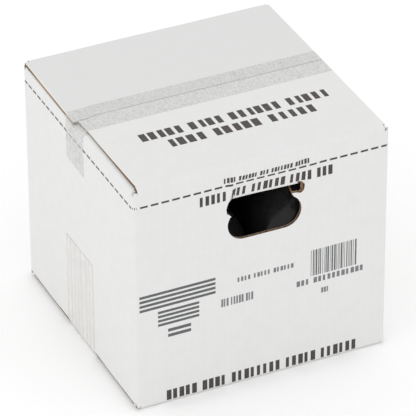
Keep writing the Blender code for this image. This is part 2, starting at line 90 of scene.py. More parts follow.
def bell(value, halfWidth):
    return 1 - smooth(0, halfWidth, abs(value))


def evenSteps(start, end, count):
    return [start + (end - start) * i / count for i in range(count + 1)]


def flapLevel(top, major):
    # the middle of the board in a flap: the major flaps lie outside the minor ones
    inward = 0 if major else board + carton["gap"]
    return boardTop - board / 2 - inward if top else board / 2 + inward


class Panel:
    # one side of the carton, and where it lies on the flat blank
    def __init__(self, name, middle, along, outward, reach, distance, u):
        self.name, self.reach, self.distance, self.u = name, reach, distance, u
        self.middle, self.along, self.outward = Vector(middle), Vector(along), Vector(outward)
        self.major = name in ("front", "rear")
        self.topFold = flapLevel(True, self.major) - foldRadius
        self.bottomFold = flapLevel(False, self.major) + foldRadius


xReach = (width - board) / 2 - foldRadius
yReach = (depth - board) / 2 - foldRadius
tabStep = board + carton["gap"]
uRear = width / 2 - carton["jointInset"]
uLeft = uRear + xReach + cornerArc + yReach
uFront = uLeft + yReach + cornerArc + xReach
uRight = uFront + xReach + cornerArc + yReach
uTab = uRight + yReach - tabStep
panels = {
    "rear": Panel("rear", (0, (depth - board) / 2, 0), (-1, 0, 0), (0, 1, 0), xReach, depth / 2, uRear),
    "left": Panel("left", ((board - width) / 2, 0, 0), (0, -1, 0), (-1, 0, 0), yReach, width / 2, uLeft),
    "front": Panel("front", (0, (board - depth) / 2, 0), (1, 0, 0), (0, -1, 0), xReach, depth / 2, uFront),
    "right": Panel("right", ((width - board) / 2, 0, 0), (0, 1, 0), (1, 0, 0), yReach, width / 2, uRight),
}
cornerTop = boardTop - carton["cornerSlot"]
cornerBottom = carton["cornerSlot"]
flapStart = cornerArc + kerf


# The outlines on the flat blank


def flapWidths(panel, top):
    root = panel.reach - kerf
    rightRoot = root - tabStep if panel.name == "right" else root
    if not panel.major:
        taper = carton["minorTaper"]
        return (root, rightRoot), (root - taper, rightRoot - taper)
    left = right = width / 2 - carton["flapInset"]
    if top and panel.name == "front":
        left = width / 2 - carton["frontInset"]
    if top and panel.name == "rear":
        right = width / 2 - carton["rearInset"]
    return (root, root), (left, right)


def flapLength(panel, top):
    if not panel.major:
        return carton["minorFlap"] - foldRadius
    toAxis = panel.distance - board / 2 - foldRadius
    seam = carton["seamY"] if top else 0.0
    return toAxis + (-seam if panel.name == "rear" else seam) - carton["seamGap"] / 2


def flapOutline(panel, top):
    (rootLeft, rootRight), (left, right) = flapWidths(panel, top)
    up = 1 if top else -1
    foldStart = panel.topFold if top else panel.bottomFold
    slot = foldStart - up * kerf
    start = foldStart + up * flapStart
    end = foldStart + up * (cornerArc + flapLength(panel, top))
    corner = cornerTop if top else cornerBottom
    points = [] if panel.name == "rear" else [(-panel.reach, corner), (-panel.reach, slot)]
    points += [(-rootLeft, slot), (-rootLeft, start), (-left, start), (-left, end)]
    points += [(right, end), (right, start), (rootRight, start), (rootRight, slot)]
    if panel.name == "right":
        points += [(panel.reach - tabStep, slot)]
    else:
        points += [(panel.reach, slot), (panel.reach, corner)]
    return [(panel.u + s, v) for s, v in points]


def blankOutline():
    top = [point for panel in panels.values() for point in flapOutline(panel, True)]
    bottom = [point for panel in panels.values() for point in flapOutline(panel, False)]
    root, end = uTab + cornerArc, uTab + cornerArc + carton["tabWidth"]
    tabTop, tabBottom = cornerTop - carton["tabRelief"], cornerBottom + carton["tabRelief"]
    taper = carton["tabTaper"]
    tab = [(uTab, tabTop), (root, tabTop), (end, tabTop - taper)]
    tab += [(end, tabBottom + taper), (root, tabBottom), (uTab, tabBottom)]
    rear = panels["rear"]
    return [(0.0, rear.bottomFold + kerf), (0.0, rear.topFold - kerf)] + top + tab + bottom[::-1]


def arcPoints(centre, radius, start, end, count):
    angles = [math.radians(angle) for angle in evenSteps(start, end, count)]
    return [(centre[0] + radius * math.cos(a), centre[1] + radius * math.sin(a)) for a in angles]


def resampled(points, spacing):
    # the same line with no stretch longer than the spacing
    line = [points[0]]
    for (x1, y1), (x2, y2) in zip(points, points[1:]):
        count = max(1, math.ceil(math.hypot(x2 - x1, y2 - y1) / spacing))
        line += [(x1 + (x2 - x1) * i / count, y1 + (y2 - y1) * i / count) for i in range(1, count + 1)]
    return line


def movedIn(points, distances):
    # an open line moved to its left, by one distance or by one for each point
    if not isinstance(distances, list):
        distances = [distances] * len(points)
    moved = []
    for i, (here, distance) in enumerate(zip(points, distances)):
        along = (Vector(points[min(i + 1, len(points) - 1)]) - Vector(points[max(i - 1, 0)])).normalized()
        moved.append((here[0] - along.y * distance, here[1] + along.x * distance))
    return moved


def hingeLevel(torn):
    if torn:
        return height - handHole["tornHingeDrop"]
    return height - handHole["drop"] + handHole["radius"] - handHole["hingeAboveEnd"]


def holeEnds():
    half, level = handHole["straight"] / 2, height - handHole["drop"]
    return (handHole["shift"] - half, level), (handHole["shift"] + half, level)


def neatHole():
    leftEnd, rightEnd = holeEnds()
    radius, hinge = handHole["radius"], hingeLevel(False)
    points = arcPoints(leftEnd, radius, 100, 270, 30) + arcPoints(rightEnd, radius, 270, 440, 30)
    return [(leftEnd[0] - 1, hinge)] + points + [(rightEnd[0] + 1, hinge)]


def tornHole(layer):
    # from the left end of the hinge down its ear, round the cut slot and up the right ear
    leftEnd, rightEnd = holeEnds()
    radius, hinge = handHole["radius"], hingeLevel(True)
    leftEar = [(-33.5, 0), (-39, -1.5), (-41.8, -4), (-43.2, -9), (-42.2, -16), (-37.7, -21.5)]
    rightEar = [(36.2, -12.2), (46.5, -13), (48.6, -11), (48.4, -5.5), (46.8, -2), (43.5, 0)]
    left = resampled([(x, hinge + z) for x, z in leftEar], 1.1)
    right = resampled([(x, hinge + z) for x, z in rightEar], 1.1)
    cut = arcPoints(leftEnd, radius, 150, 270, 24) + arcPoints(rightEnd, radius, 270, 418, 30)
    if layer == "flap":
        return left + cut + right
    draw = random.Random(11 if layer == "outer" else 12)
    rough = handHole["tearRoughness"]
    back = handHole["linerTornBack"] if layer == "outer" else 0.0
    leftTears = [-draw.uniform(0, rough) - 0.35 * back * bell(i - 0.72 * len(left), 0.3 * len(left))
                 for i in range(len(left))]
    rightTears = [-draw.uniform(0, rough) - back * bell(i - 0.62 * len(right), 0.42 * len(right))
                  for i in range(len(right))]
    leftTears[0] = rightTears[-1] = 0.0
    cutTears = [-draw.uniform(0, 0.12) for _ in cut]
    return movedIn(left, leftTears) + movedIn(cut, cutTears) + movedIn(right, rightTears)


def holeFlapEdge(torn):
    # the edge of the flap that was cut out, smaller all round by the width of the cut
    outline = tornHole("flap") if torn else neatHole()
    moved = movedIn(outline, kerf)
    hinge = hingeLevel(torn)
    return [(outline[0][0] + kerf, hinge)] + moved[1:-1] + [(outline[-1][0] - kerf, hinge)]


def isInside(x, y, outline):
    odd = False
    for (x1, y1), (x2, y2) in zip(outline, outline[1:] + outline[:1]):
        if (y1 > y) != (y2 > y) and x < x1 + (y - y1) / (y2 - y1) * (x2 - x1):
            odd = not odd
    return odd


def areInside(points, outline):
    x, y = points.T
    odd = np.zeros(len(points), bool)
    for (x1, y1), (x2, y2) in zip(outline, outline[1:] + outline[:1]):
        if y1 != y2:
            odd ^= ((y1 > y) != (y2 > y)) & (x < x1 + (y - y1) / (y2 - y1) * (x2 - x1))
    return odd


flapEdges = {"front": movedIn(holeFlapEdge(True), -kerf / 3), "rear": movedIn(holeFlapEdge(False), -kerf / 3)}


# Folding: u runs round the blank, v is the height on it and w points out of the board


def stripTilt(x, z):
    # how far the strip over the front hole stands out: its top bulges and its foot is pushed in
    drop = height - z
    slant = (drop - dents["slantFrom"]) * dents["creaseSlant"]
    betweenCreases = smooth(*dents["leftCrease"], x + slant) * (1 - smooth(*dents["rightCrease"], x - slant))
    lessToTheRight = 1 - 0.35 * smooth(-20, 50, x)
    tilt = dents["stripBulge"] - dents["stripTilt"] * (drop - dents["stripPivot"]) * lessToTheRight
    downTheStrip = smooth(*dents["stripTop"], drop) * (1 - smooth(*dents["stripFoot"], drop))
    ridge = dents["creaseRidge"] * bell(x + slant + 39, 7) * smooth(8, 16, drop) * (1 - smooth(34, 46, drop))
    shoulder = dents["shoulderBulge"] * bell(x - 58, 16) * bell(drop - 18, 14)
    return betweenCreases * tilt * downTheStrip + ridge + shoulder


def settle(point):
    # the sunken corner at the seam's left end, and the arch under the base
    x, y, z = point
    nearCorner = (1 - smooth(0, 38, x + width / 2)) * bell(y - carton["seamY"], 34)
    droop = dents["cornerDroop"] * nearCorner * smooth(height - 34, height - 7, z)
    arch = dents["baseArch"] * (1 - smooth(*dents["archEdge"], abs(y))) * (1 - smooth(*dents["archFade"], z))
    return Vector((x, y, z - droop + arch)) * mm


def panelAt(u, v):
    if not cornerBottom - kerf / 2 <= v <= cornerTop + kerf / 2:
        for panel in panels.values():
            left, right = (max(widths) for widths in zip(*flapWidths(panel, v > 0)))
            if -left - kerf / 2 < u - panel.u < right + kerf / 2:
                return panel
    return min(panels.values(), key=lambda panel: abs(u - panel.u) - panel.reach)


def roundPlan(panel, u, w):
    # the place in plan of a point between the top and bottom folds
    past, start = u - panel.u - panel.reach, panel.reach
    if u > uTab:
        panel, past, start = panels["right"], u - uTab, panels["right"].reach - tabStep
    elif past <= 0:
        before = {"left": "rear", "front": "left", "right": "front"}.get(panel.name)
        if before is None or u >= panel.u - panel.reach:
            return panel.middle + panel.along * (u - panel.u) + panel.outward * w
        panel = panels[before]
        past, start = u - panel.u - panel.reach, panel.reach
    elif panel.name == "right":
        return panel.middle + panel.along * (u - panel.u) + panel.outward * w
    turn = min(past / foldRadius, quarterTurn)
    forward = (foldRadius + w) * math.sin(turn)
    inward = foldRadius - (foldRadius + w) * math.cos(turn) + max(past - cornerArc, 0.0)
    return panel.middle + panel.along * (start + forward) - panel.outward * inward


def foldFlap(panel, s, past, w, top):
    turn = min(past / foldRadius, quarterTurn)
    straight = max(past - cornerArc, 0.0)
    inward = foldRadius - (foldRadius + w) * math.cos(turn) + straight
    rise = (foldRadius + w) * math.sin(turn)
    if top and panel.name == "rear":
        rise += dents["flapBow"] * bell(straight - 48, 46) * smooth(width / 2 - 75, width / 2, s)
    z = panel.topFold + rise if top else panel.bottomFold - rise
    return panel.middle + panel.along * s - panel.outward * inward + Vector((0, 0, z))


def foldHoleFlap(panel, s, v, w, torn):
    hinge = hingeLevel(torn)
    radius, angle = handHole["flapRadius"], handHole["flapAngle"]
    turn = min((hinge - v) / radius, angle)
    straight = max(hinge - v - radius * angle, 0.0)
    inward = radius * (1 - math.cos(turn)) + straight * math.sin(turn) - w * math.cos(turn)
    drop = (radius + w) * math.sin(turn) + straight * math.cos(turn)
    inward -= stripTilt(s, hinge) if torn else 0.0
    return panel.middle + panel.along * s - panel.outward * inward + Vector((0, 0, hinge - drop))


def unevenness(u, v):
    # none under the base, which lies flat on the floor
    size = dents["unevenSize"]
    return dents["unevenness"] * smooth(0, 30, v) * noise.noise(Vector((u / size, v / size, 4.7)))


def fold(u, v, w):
    # where a point of the flat blank lies on the carton, in metres
    panel = panelAt(u, v)
    s = u - panel.u
    w += unevenness(u, v)
    for top, past in ((True, v - panel.topFold), (False, panel.bottomFold - v)):
        within = abs(s) <= panel.reach - kerf / 2 or past > cornerArc
        if past > 0 and within and u < uTab:
            return settle(foldFlap(panel, s, past, w, top))
    if panel.major:
        torn = panel.name == "front"
        if abs(s) < 60 and v < hingeLevel(torn) and v > 150 and isInside(s, v, flapEdges[panel.name]):
            return settle(foldHoleFlap(panel, s, v, w, torn))
        if torn:
            w += stripTilt(s, v)
    return settle(roundPlan(panel, u, w) + Vector((0, 0, v)))


# Making the flat sheets


def bendLines():
    # the lines that the blank bends along, as points at short steps
    lines = []
    folds = grain["foldSteps"]
    for panel in panels.values():
        left, right = panel.u - panel.reach - 1, panel.u + panel.reach + 1
        for v in evenSteps(panel.topFold, panel.topFold + cornerArc, folds):
            lines.append(resampled([(left, v), (right, v)], grain["corner"]))
        for v in evenSteps(panel.bottomFold, panel.bottomFold - cornerArc, folds):
            lines.append(resampled([(left, v), (right, v)], grain["panel"]))
    for start in [panels[name].u + panels[name].reach for name in ("rear", "left", "front")] + [uTab]:
        for u in evenSteps(start, start + cornerArc, folds):
            lines.append(resampled([(u, cornerBottom - 1), (u, cornerTop + 1)], grain["panel"]))
    for torn, panel in ((True, panels["front"]), (False, panels["rear"])):
        hinge = hingeLevel(torn)
        left, right = handHole["shift"] - 45, handHole["shift"] + 42
        arc = handHole["flapRadius"] * handHole["flapAngle"]
        for v in evenSteps(hinge, hinge - arc, grain["hingeSteps"]):
            lines.append(resampled([(panel.u + left, v), (panel.u + right, v)], grain["strip"]))
    return lines


def loosePoints():
    # points spread over the blank, closer together where it is dented
    def spread(left, right, low, high, spacing):
        across, up = round((right - left) / spacing), round((high - low) / spacing)
        return [(u, v) for u in evenSteps(left, right, across) for v in evenSteps(low, high, up)]

    front, left, rear = panels["front"], panels["left"], panels["rear"]
    outline = blankOutline()
    most = max(v for _, v in outline), min(v for _, v in outline), max(u for u, _ in outline)
    points = spread(1.3, most[2], most[1], most[0], grain["panel"])
    points += spread(front.u - 48, front.u + 74, height - 66, front.topFold - 0.5, grain["strip"])
    points += spread(left.u - carton["seamY"] - 38, left.u - carton["seamY"] + 38, height - 38, height + 40,
                     grain["corner"])
    for panel, sign in ((front, -1), (rear, 1)):
        tip = panel.topFold + cornerArc + flapLength(panel, True)
        ends = sorted((panel.u + sign * width / 2, panel.u + sign * (width / 2 - 42)))
        points += spread(*ends, tip - 38, tip, grain["corner"])
    return points


def flatSheet(outline, cuts):
    # triangles over the blank, without what lies inside the cuts
    points, edges = [], []
    for loop in [outline, *cuts]:
        edges += [(len(points) + i, len(points) + (i + 1) % len(loop)) for i in range(len(loop))]
        points += loop
    for line in bendLines():
        edges += [(len(points) + i, len(points) + i + 1) for i in range(len(line) - 1)]
        points += line
    points += loosePoints()
    places, _, faces, *_ = geometry.delaunay_2d_cdt([Vector(p) for p in points], edges, [], 0, 0.02)
    places = np.array([tuple(place) for place in places])
    faces = np.array([tuple(face) for face in faces])
    middles = places[faces].mean(axis=1)
    kept = areInside(middles, outline)
    for cut in cuts:
        kept &= ~areInside(middles, cut)
    return places, faces[kept]


def newObject(name, points, faces, finishes, faceFinish=None, flatPlaces=None):
    # a mesh from its points and faces; flatPlaces keeps where each point lies on the blank, for the finishes
    mesh = bpy.data.meshes.new(name)
    mesh.from_pydata(points, [], faces)
    for finish in finishes:
        mesh.materials.append(finish)
    if faceFinish:
        mesh.polygons.foreach_set("material_index", faceFinish)
    if flatPlaces:
        places = mesh.attributes.new("sheetPlace", "FLOAT_VECTOR", "POINT")
        places.data.foreach_set("vector", [value * mm for place in flatPlaces for value in place])
    mesh.shade_smooth()
    mesh.set_sharp_from_angle(angle=math.radians(grain["sharpFrom"]))
    piece = bpy.data.objects.new(name, mesh)
    bpy.context.scene.collection.objects.link(piece)
    return piece


class Sheets:
    # thin closed sheets gathered into one mesh: each has an outer and an inner face on the blank, and a rim
    def __init__(self):
        self.points, self.places, self.faces, self.finishOf = [], [], [], []

    def add(self, places, faces, outerW, innerW):
        used = sorted({i for face in faces for i in face})
        first = len(self.points)
        count = len(used)
        number = {old: first + new for new, old in enumerate(used)}
        for level in (outerW, innerW):
            for old in used:
                u, v = places[old]
                w = level(u, v) if callable(level) else level
                self.places.append((u, v, w))
                self.points.append(fold(u, v, w))
        edges = set()
        for face in faces:
            corners = [number[i] for i in face]
            self.faces += [corners, [i + count for i in reversed(corners)]]
            self.finishOf += [0, 1]
            edges |= set(zip(corners, corners[1:] + corners[:1]))
        for i, j in edges:
            if (j, i) not in edges:
                self.faces.append([j, i, i + count, j + count])
                self.finishOf.append(1)

    def addGrid(self, columns, outerW, innerW):
        # columns of places, whose first ones run along an edge and whose next ones lie to its left
        rows = len(columns[0])
        places = [place for column in columns for place in column]
        quads = []
        for c in range(len(columns) - 1):
            for r in range(rows - 1):
                near, far = c * rows + r, (c + 1) * rows + r
                quads.append([near, far, far + 1, near + 1])
        self.add(places, quads, outerW, innerW)

    def make(self, name, finishes):
        faceFinish = [min(i, len(finishes) - 1) for i in self.finishOf]
        return newObject(name, self.points, self.faces, finishes, faceFinish, self.places)


# Finishes


class Wire:
    # an output of a shader node, so that the shader's sums read as Python
    def __init__(self, finish, socket):
        self.finish, self.socket = finish, socket

    def sum(self, operation, *values):
        return self.finish.node("ShaderNodeMath", {"operation": operation}, dict(enumerate(values)))

    def __add__(self, other):
        return self.sum("ADD", self, other)

    def __sub__(self, other):
        return self.sum("SUBTRACT", self, other)

    def __rsub__(self, other):
        return self.sum("SUBTRACT", other, self)

    def __mul__(self, other):
        return self.sum("MULTIPLY", self, other)

    def sine(self):
        return self.sum("SINE", self)

    __radd__ = __add__
    __rmul__ = __mul__

    def part(self, name):
        return Wire(self.finish, self.socket.node.outputs[name])


class Finish:
    # one material with its Principled shader
    def __init__(self, name, **constants):
        self.material = bpy.data.materials.new(name)
        self.material.use_nodes = True
        self.tree = self.material.node_tree
        self.shader = self.tree.nodes["Principled BSDF"]
        for socket, value in constants.items():
            self.shader.inputs[socket.replace("_", " ")].default_value = value

    def node(self, kind, settings=None, inputs=None, output=0):
        made = self.tree.nodes.new(kind)
        for key, value in (settings or {}).items():
            if key == "stops":
                self.setStops(made.color_ramp, value)
            else:
                setattr(made, key, value)
        for socket, value in (inputs or {}).items():
            self.feed(made.inputs[socket], value)
        return Wire(self, made.outputs[output])

    def setStops(self, ramp, stops):
        while len(ramp.elements) < len(stops):
            ramp.elements.new(0.5)
        for element, (position, tone) in zip(ramp.elements, stops):
            element.position = position
            element.color = (tone, tone, tone, 1) if isinstance(tone, (int, float)) else (*tone, 1)

    def feed(self, socket, value):
        if isinstance(value, Wire):
            self.tree.links.new(value.socket, socket)
        elif isinstance(value, tuple) and socket.type == "RGBA":
            socket.default_value = (*value, 1)
        else:
            socket.default_value = value

    def noise(self, place, scale, detail=3.0, roughness=0.55, distortion=0.0):
        wanted = {"Vector": place, "Scale": scale, "Detail": detail, "Roughness": roughness}
        wanted["Distortion"] = distortion
        return self.node("ShaderNodeTexNoise", {}, wanted)

    def ramp(self, value, stops):
        return self.node("ShaderNodeValToRGB", {"stops": stops}, {"Fac": value})

    def mix(self, share, first, second):
        return self.node("ShaderNodeMix", {"data_type": "RGBA"}, {0: share, 6: first, 7: second}, 2)

    def stretched(self, place, scale):
        return self.node("ShaderNodeVectorMath", {"operation": "MULTIPLY"}, {0: place, 1: scale})

    def sheetPlace(self):
        return self.node("ShaderNodeAttribute", {"attribute_name": "sheetPlace"}, {}, "Vector")

    def objectPlace(self):
        return self.node("ShaderNodeTexCoord", {}, {}, "Object")

    def split(self, place):
        parts = self.node("ShaderNodeSeparateXYZ", {}, {0: place})
        return parts.part("X"), parts.part("Y"), parts.part("Z")

    def use(self, **wires):
        for socket, wire in wires.items():
            self.feed(self.shader.inputs[socket.replace("_", " ")], wire)

    def bump(self, heightWire, strength, distance):
        wanted = {"Height": heightWire, "Strength": strength, "Distance": distance}
        self.use(Normal=self.node("ShaderNodeBump", {}, wanted))


fluteTurns = 2 * math.pi / (sandwich["flutePitch"] * mm)


def whitePaperFinish():
    # bleached liner: faint mottling from the kraft below it, the flutes showing through, a few scuffs, and
    # painted shade darkening the rear top flap
    tones = {
        "paper": (0.757, 0.762, 0.754), "mottled": (0.73, 0.73, 0.72), "scuff": (0.61, 0.59, 0.56),
        "rearFlapShade": (0.685, 0.695, 0.685), "fluted": (0.7, 0.7, 0.69),
    }
    finish = Finish("whitePaper", Roughness=0.6)
    finish.shader.inputs["Specular IOR Level"].default_value = 0.42
    place = finish.sheetPlace()
    u, v, _ = finish.split(place)
    mottle = finish.ramp(finish.noise(place, 55, 5, 0.62), [(0.36, 0.0), (0.7, 1.0)])
    cloud = finish.noise(place, 9, 3, 0.5)
    fibre = finish.noise(finish.stretched(place, (1.0, 0.35, 1.0)), 900, 4, 0.7)
    flutes = (u * fluteTurns).sine()
    scuffs = finish.ramp(finish.noise(finish.stretched(place, (0.4, 1.0, 1.0)), 70, 6, 0.75, 1.2),
                         [(0.71, 0.0), (0.8, 1.0)])
    specks = finish.ramp(finish.noise(place, 1500, 2, 0.5), [(0.72, 0.0), (0.79, 1.0)])
    wear = finish.mix(mottle * 0.55 + cloud * 0.25, tones["paper"], tones["mottled"])
    wear = finish.mix(flutes * 0.05 + 0.05, wear, tones["fluted"])
    wear = finish.mix(scuffs * 0.14 + specks * 0.16, wear, tones["scuff"])
    # painted shade: the rear top flap is darkened as though it lay a little lower in the light
    paintedShadeOnRearFlap = v.sum("GREATER_THAN", v, panels["rear"].topFold * mm) * u.sum("LESS_THAN", u, 2 * uRear * mm)
    wear = finish.mix(paintedShadeOnRearFlap * 0.8, wear, tones["rearFlapShade"])
    finish.use(Base_Color=wear, Roughness=0.56 + mottle * 0.1 + fibre * 0.08)
    finish.bump(fibre * 0.35 + flutes * 0.3 + mottle * 0.25, 0.35, 0.00012)
    return finish.material


def kraftFinish(name, tone, darker):
    finish = Finish(name, Roughness=0.85)
    finish.shader.inputs["Specular IOR Level"].default_value = 0.25
    place = finish.objectPlace()
    fibre = finish.noise(finish.stretched(place, (1.0, 1.0, 0.4)), 700, 5, 0.7)
    patches = finish.noise(place, 60, 3, 0.6)
    wear = finish.mix(fibre * 0.6 + patches * 0.5 - 0.05, tone, darker)
    finish.use(Base_Color=wear, Roughness=0.78 + fibre * 0.16)
    finish.bump(fibre, 0.5, 0.00015)
    return finish.material


def inkFinish(name, tone, worn):
    # flexographic ink: a little thin in places, so that the paper shows
    finish = Finish(name, Roughness=0.55)
    place = finish.sheetPlace()
    thin = finish.ramp(finish.noise(place, 420, 5, 0.75), [(0.48, 0.0), (0.78, 1.0)])
    finish.use(Base_Color=finish.mix(thin * 0.55, tone, worn), Roughness=0.5 + thin * 0.2)
    finish.bump(finish.noise(place, 900, 3, 0.6), 0.2, 0.00008)
    return finish.material


def clearFilmFinish():
    # tape that has wetted the paper unevenly, with the flutes combed into it
    tones = {"film": (0.78, 0.785, 0.775), "wetted": (0.71, 0.705, 0.69)}
    finish = Finish("clearFilm", Roughness=0.24, Alpha=0.3)
    finish.shader.inputs["IOR"].default_value = 1.47
    finish.shader.inputs["Coat Weight"].default_value = 0.25
    finish.shader.inputs["Coat Roughness"].default_value = 0.12
    place = finish.objectPlace()
    x, y, _ = finish.split(place)
    comb = ((x + y) * fluteTurns * 2.0).sine()
    wetted = finish.noise(finish.stretched(place, (3.0, 1.0, 1.0)), 160, 5, 0.7)
    wetted = finish.ramp(wetted, [(0.4, 0.0), (0.66, 1.0)])
    broad = finish.noise(place, 26, 3, 0.6)
    finish.use(
        Base_Color=finish.mix(wetted * 0.6 + broad * 0.3, tones["film"], tones["wetted"]),
        Alpha=0.15 + wetted * 0.12 + comb * 0.02 + broad * 0.08,
        Roughness=0.2 + wetted * 0.16,
    )
    finish.bump(comb * 0.4 + wetted * 0.4 + broad * 0.6, 0.4, 0.0002)
    return finish.material


def beigeFilmFinish():
    # sealing tape with threads that run down it
    tones = {
        "film": (0.91, 0.9, 0.88), "streak": (0.85, 0.835, 0.815), "thread": (0.86, 0.825, 0.795),
        "blotch": (0.86, 0.855, 0.845),
    }
    finish = Finish("beigeFilm", Roughness=0.36)
    finish.shader.inputs["Coat Weight"].default_value = 0.15
    place = finish.objectPlace()
    streaks = finish.noise(finish.stretched(place, (1.0, 14.0, 0.35)), 60, 4, 0.7)
    threads = finish.noise(finish.stretched(place, (1.0, 30.0, 0.2)), 22, 3, 0.6)
    threads = finish.ramp(threads, [(0.4, 0.0), (0.62, 1.0)])
    blotches = finish.ramp(finish.noise(place, 75, 5, 0.7), [(0.42, 0.0), (0.72, 1.0)])
    tone = finish.mix(streaks * 0.8, tones["film"], tones["streak"])
    tone = finish.mix(threads * 0.4, tone, tones["thread"])
    tone = finish.mix(blotches * 0.35, tone, tones["blotch"])
    finish.use(Base_Color=tone, Roughness=0.32 + streaks * 0.2, Alpha=0.62 + threads * 0.2 + blotches * 0.1)
    finish.bump(streaks * 0.5 + threads * 0.6 + blotches * 0.3, 0.45, 0.0003)
    return finish.material


def jugFinish(name, tone):
    finish = Finish(name, Roughness=0.2)
    finish.shader.inputs["Specular IOR Level"].default_value = 0.22
    finish.shader.inputs["Coat Weight"].default_value = 0.08
    finish.shader.inputs["Coat Roughness"].default_value = 0.08
    place = finish.objectPlace()
    flow = finish.noise(finish.stretched(place, (1.0, 1.0, 0.4)), 30, 4, 0.6, 0.8)
    grainy = finish.noise(place, 600, 3, 0.6)
    lighter = tuple(min(1.0, value * 1.8 + 0.004) for value in tone)
    finish.use(Base_Color=finish.mix(flow * 0.8, tone, lighter), Roughness=0.16 + flow * 0.14)
    finish.bump(flow * 0.7 + grainy * 0.12, 0.25, 0.0006)
    return finish.material


whitePaper = whitePaperFinish()
kraft = kraftFinish("kraftLiner", (0.41, 0.3, 0.21), (0.3, 0.21, 0.14))
mediumPaper = kraftFinish("flutedMedium", (0.3, 0.18, 0.11), (0.16, 0.095, 0.06))
darkInk = inkFinish("darkInk", (0.035, 0.027, 0.026), (0.2, 0.18, 0.17))
greyInk = inkFinish("greyInk", (0.095, 0.098, 0.1), (0.3, 0.3, 0.3))
paleInk = inkFinish("paleInk", (0.16, 0.16, 0.165), (0.4, 0.4, 0.4))
print("finishes made")


# The folded carton


def linerSheet(cutLayer):
    cuts = []
    for torn, panel in ((True, panels["front"]), (False, panels["rear"])):
        edge = tornHole(cutLayer) if torn else neatHole()
        cuts.append([(panel.u + s, v) for s, v in edge + holeFlapEdge(torn)[::-1]])
    places, faces = flatSheet(blankOutline(), cuts)
    return [tuple(place) for place in places.tolist()], faces.tolist()


def fluteWave(offset):
    amplitude = board / 2 - sandwich["liner"] - sandwich["medium"] / 2 - 0.03
    return lambda u, v: amplitude * math.sin(2 * math.pi * u / sandwich["flutePitch"]) + offset


def rawEdges():
    # the edges that show the flutes, each with the board on its left, and how far in their flutes are made
    rows = sandwich["fluteRows"]
    shallowRows = rows[:sandwich["shallowRows"]]
    lines = []
    for panel in (panels["front"], panels["rear"]):
        for top in (True, False):
            _, (left, right) = flapWidths(panel, top)
            foldStart = panel.topFold if top else panel.bottomFold
            up = 1 if top else -1
            start = foldStart + up * flapStart
            end = foldStart + up * (cornerArc + flapLength(panel, top))
            line = [(right, start), (right, end), (-left, end), (-left, start)]
            line = [(panel.u + s, v) for s, v in line]
            lines.append((line if top else line[::-1], rows))
    rear = panels["rear"]
    lines.append(([(0.0, rear.topFold - kerf), (0.0, rear.bottomFold + kerf)], rows))
    for torn, panel in ((True, panels["front"]), (False, panels["rear"])):
        edge = tornHole("inner") if torn else neatHole()
        lines.append(([(panel.u + s, v) for s, v in edge[::-1]], shallowRows))
        lines.append(([(panel.u + s, v) for s, v in holeFlapEdge(torn)], shallowRows))
    # deeper where the outer liner is torn back beside the right ear
    earFrom, earFoot = handHole["rightEarFrom"], hingeLevel(True) - handHole["rightEarDrop"]
    ear = [(s, v) for s, v in tornHole("inner")[::-1] if s > earFrom and v > earFoot]
    lines.append(([(panels["front"].u + s, v) for s, v in ear], sandwich["earRows"]))
    return lines


def buildCarton():
    thickness = sandwich["liner"]
    outer, inner, flutes = Sheets(), Sheets(), Sheets()
    outer.add(*linerSheet("outer"), board / 2, board / 2 - thickness)
    inner.add(*linerSheet("inner"), thickness - board / 2, -board / 2)
    half = sandwich["medium"] / 2
    for line, depths in rawEdges():
        fine = [line[0]]
        for start, end in zip(line, line[1:]):
            across = abs(end[0] - start[0]) > 0.3 * abs(end[1] - start[1])
            fine += resampled([start, end], sandwich["stepAcross" if across else "stepAlong"])[1:]
        rows = [movedIn(fine, depth) for depth in depths]
        flutes.addGrid([list(column) for column in zip(*rows)], fluteWave(half), fluteWave(-half))
    shell = outer.make("cartonOuterLiner", [whitePaper, kraft])
    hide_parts("carton")
    lining = inner.make("cartonInnerLiner", [kraft])
    medium = flutes.make("cartonFlutes", [mediumPaper])
    for piece in (shell, lining, medium):
        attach(piece, "root")


buildCarton()
print("carton folded")


# Print: plain blocks and stripes, laid where the carton is printed


class Ink:
    # flat blocks of ink on the blank, gathered into one mesh
    def __init__(self, rise=0.05, step=3.0):
        self.sheets, self.rise, self.step = Sheets(), rise, step

    def block(self, place, left, low, right, high):
        # place turns a print's own (along, up) into a place on the blank
        across = max(1, math.ceil((right - left) / self.step))
        up = max(1, math.ceil((high - low) / self.step))
        columns = [[place(s, t) for t in evenSteps(low, high, up)] for s in evenSteps(left, right, across)]
        self.sheets.addGrid(columns, board / 2 + self.rise, board / 2 - 0.03)

    def row(self, place, length, tall, groups, seed):
        # plain upright blocks in groups
        draw = random.Random(seed)
        space = 0.65
        pitch = length / (sum(groups) + space * (len(groups) - 1))
        at = 0.0
        for group in groups:
            for _ in range(group):
                self.block(place, at, 0, at + pitch * draw.choice((0.5, 0.62, 0.74)), tall)
                at += pitch
            at += space * pitch

    def stripes(self, place, length, tall, count):
        # level bars, one over the other
        thick = 0.58
        pitch = tall / (count - 1 + thick)
        for i in range(count):
            self.block(place, 0, i * pitch, length, (i + thick) * pitch)

    def make(self, name, finish):
        piece = self.sheets.make(name, [finish])
        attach(piece, "root")


def onPanel(name, x, drop):
    # a print's origin on a side, given from the side's left edge and from the carton's top
    panel = panels[name]
    half = (width if panel.major else depth) / 2
    u, v = panel.u + x - half, height - drop
    return lambda s, t: (u + s, v + t)


def onFrontFlap(x, y):
    # the same on the front top flap, read from behind, given from the left side and from the back
    panel = panels["front"]
    inward = depth - y - board / 2
    u, v = panel.u + x - width / 2, panel.topFold + cornerArc + inward - foldRadius
    return lambda s, t: (u - s, v - t)


